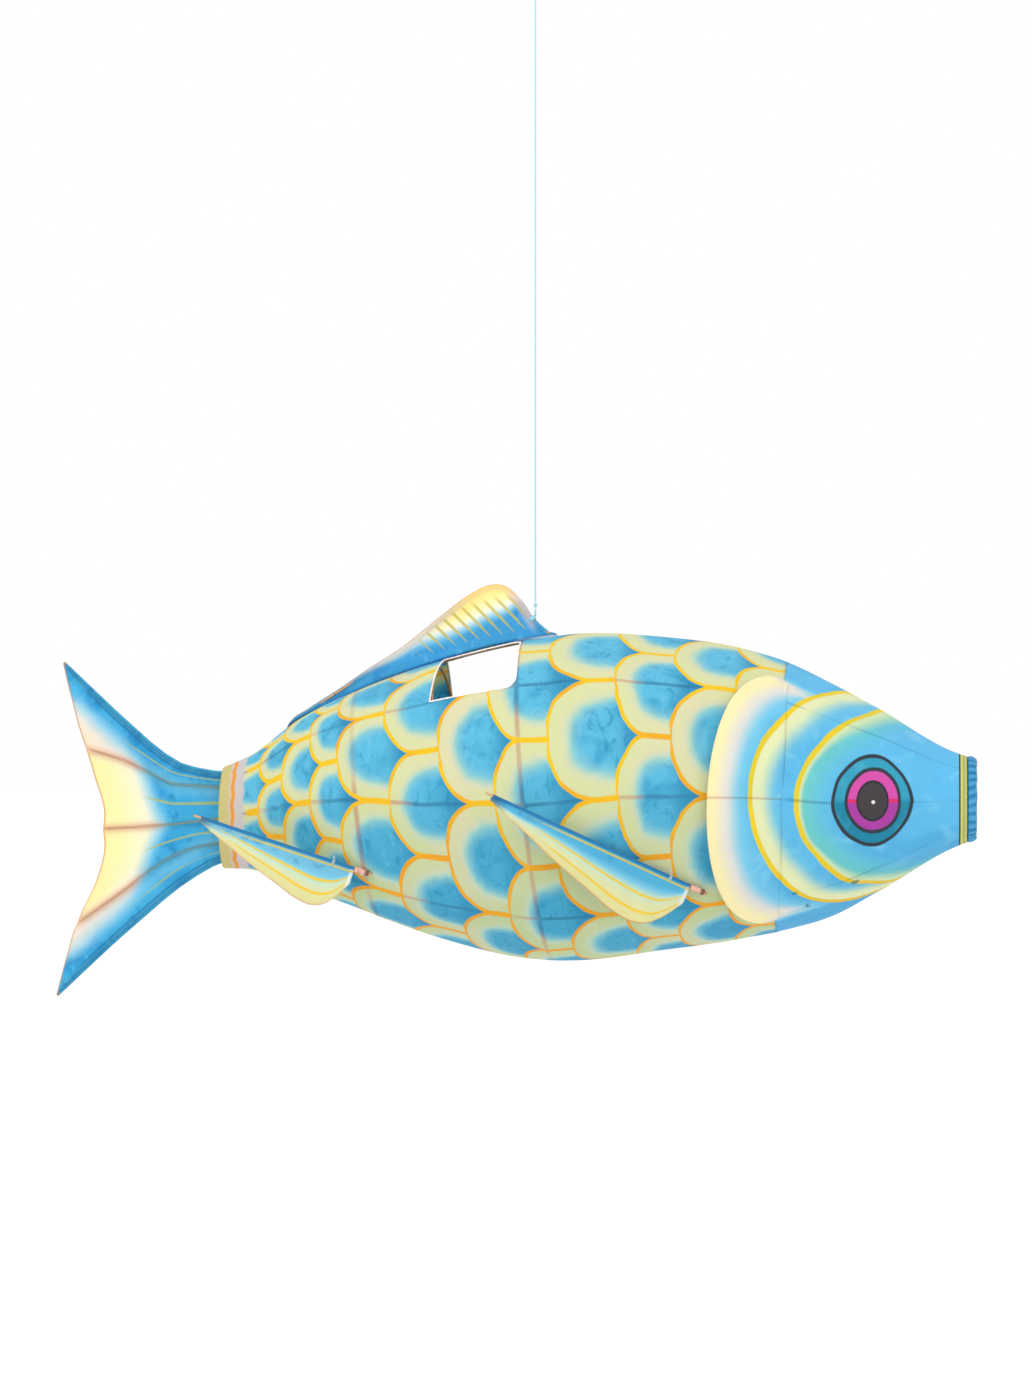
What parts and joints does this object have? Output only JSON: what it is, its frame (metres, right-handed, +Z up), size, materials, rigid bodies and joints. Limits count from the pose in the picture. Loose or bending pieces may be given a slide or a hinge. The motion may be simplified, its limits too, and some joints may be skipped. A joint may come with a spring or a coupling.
{
  "type": "carp streamer",
  "caption": "Painted cloth fish stretched over a bamboo frame of hoops and stringers, open at the mouth, with fins and a forked tail, hung from one cord.",
  "frame": {"origin": "top of the hanging loop, where a hook would carry it", "axes": "+X to the fish's nose, +Y to its left side, +Z up; the fish hangs below the origin"},
  "size_m": [0.932, 0.322, 1.0615],
  "materials": {
    "scale_cloth": "hand-painted plain weave, matt with a faint sheen",
    "head_cloth": "hand-painted plain weave, matt with a faint sheen",
    "lip_cloth": "gathered painted hem with a frayed edge",
    "gill_cloth": "hand-painted plain weave, cream edge to blue",
    "dorsal_cloth": "hand-painted plain weave, yellow over blue",
    "fin_cloth": "hand-painted plain weave, blue to pale green with yellow lines",
    "tail_cloth": "hand-painted plain weave, blue root to pale edge",
    "bamboo_hoop": "split bamboo bent into a hoop, satin",
    "bamboo_stringer": "split bamboo strip, satin",
    "bamboo_spar": "split bamboo stick, satin",
    "sleeve_plastic": "soft tube, translucent pinkish",
    "cord": "twisted pale blue cord"
  },
  "bodies": {
    "loop": {"hanging_loop": "cord"},
    "swivel": {"upper_knot": "cord"},
    "cord": {"hanging_cord": "cord"},
    "knot": {"lower_knot": "cord"},
    "tie": {"tie_loop": "cord"},
    "fish": {"mouth_ring": "bamboo_hoop", "gill_hoop": "bamboo_hoop", "mid_hoop": "bamboo_hoop", "rear_hoop": "bamboo_hoop", "peduncle_hoop": "bamboo_hoop", "vent_arch": "bamboo_hoop", "top_stringer": "bamboo_hoop", "upper_stringer_right": "bamboo_hoop", "upper_stringer_left": "bamboo_hoop", "side_stringer_right": "bamboo_hoop", "side_stringer_left": "bamboo_hoop", "lower_stringer_right": "bamboo_hoop", "lower_stringer_left": "bamboo_hoop", "belly_stringer": "bamboo_hoop", "body_skin_right": "scale_cloth", "body_skin_left": "scale_cloth", "head_skin_right": "head_cloth", "head_skin_left": "head_cloth", "lip_hem": "lip_cloth", "gill_flap_right": "gill_cloth", "gill_flap_left": "gill_cloth", "dorsal_fin_skin": "dorsal_cloth", "gill_bow_right": "bamboo_stringer", "gill_bow_left": "bamboo_stringer", "dorsal_bow": "bamboo_stringer", "bow_lashing": "cord", "pectoral_sleeve_right": "sleeve_plastic", "pectoral_sleeve_left": "sleeve_plastic", "pelvic_sleeve_right": "sleeve_plastic", "pelvic_sleeve_left": "sleeve_plastic"},
    "pectoral_right": {"pectoral_spar_right": "bamboo_spar", "pectoral_skin_right": "fin_cloth"},
    "pectoral_left": {"pectoral_spar_left": "bamboo_spar", "pectoral_skin_left": "fin_cloth"},
    "pelvic_right": {"pelvic_spar_right": "bamboo_spar", "pelvic_skin_right": "fin_cloth"},
    "pelvic_left": {"pelvic_spar_left": "bamboo_spar", "pelvic_skin_left": "fin_cloth"},
    "tail": {"tail_upper_spar": "bamboo_spar", "tail_upper_ray": "bamboo_spar", "tail_middle_ray": "bamboo_spar", "tail_lower_ray": "bamboo_spar", "tail_lower_spar": "bamboo_spar", "tail_skin_right": "tail_cloth", "tail_skin_left": "tail_cloth"}
  },
  "joints": [
    {"name": "cord_sway_fore_aft", "type": "hinge", "parent": "loop", "child": "swivel", "pos_m": [0, 0, -0.03215], "axis": [0, 1, 0], "range_deg": [-30, 30]},
    {"name": "cord_sway_sideways", "type": "hinge", "parent": "swivel", "child": "cord", "pos_m": [0, 0, -0.03215], "axis": [1, 0, 0], "range_deg": [-30, 30]},
    {"name": "fish_turn", "type": "hinge", "parent": "cord", "child": "knot", "pos_m": [0, 0, -0.66505], "axis": [0, 0, 1], "continuous": true},
    {"name": "fish_nod", "type": "hinge", "parent": "knot", "child": "tie", "pos_m": [0, 0, -0.66505], "axis": [0, 1, 0], "range_deg": [-25, 25]},
    {"name": "fish_roll", "type": "hinge", "parent": "tie", "child": "fish", "pos_m": [0, 0, -0.67385], "axis": [1, 0, 0], "range_deg": [-25, 25]},
    {"name": "pectoral_right_flap", "type": "hinge", "parent": "fish", "child": "pectoral_right", "pos_m": [0.17001, -0.09757, -0.93874], "axis": [-0.8671, -0.2743, 0.4158], "range_deg": [-6, 50]},
    {"name": "pectoral_left_flap", "type": "hinge", "parent": "fish", "child": "pectoral_left", "pos_m": [0.17001, 0.09757, -0.93874], "axis": [0.8671, -0.2743, -0.4158], "range_deg": [-6, 50]},
    {"name": "pelvic_right_flap", "type": "hinge", "parent": "fish", "child": "pelvic_right", "pos_m": [-0.16315, -0.06928, -0.92557], "axis": [-0.9425, -0.1142, 0.3142], "range_deg": [-6, 50]},
    {"name": "pelvic_left_flap", "type": "hinge", "parent": "fish", "child": "pelvic_left", "pos_m": [-0.16315, 0.06928, -0.92557], "axis": [0.9425, -0.1142, -0.3142], "range_deg": [-6, 50]},
    {"name": "tail_swish", "type": "hinge", "parent": "fish", "child": "tail", "pos_m": [-0.31045, 0, -0.85499], "axis": [0, 0, 1], "range_deg": [-12, 12]}
  ]
}
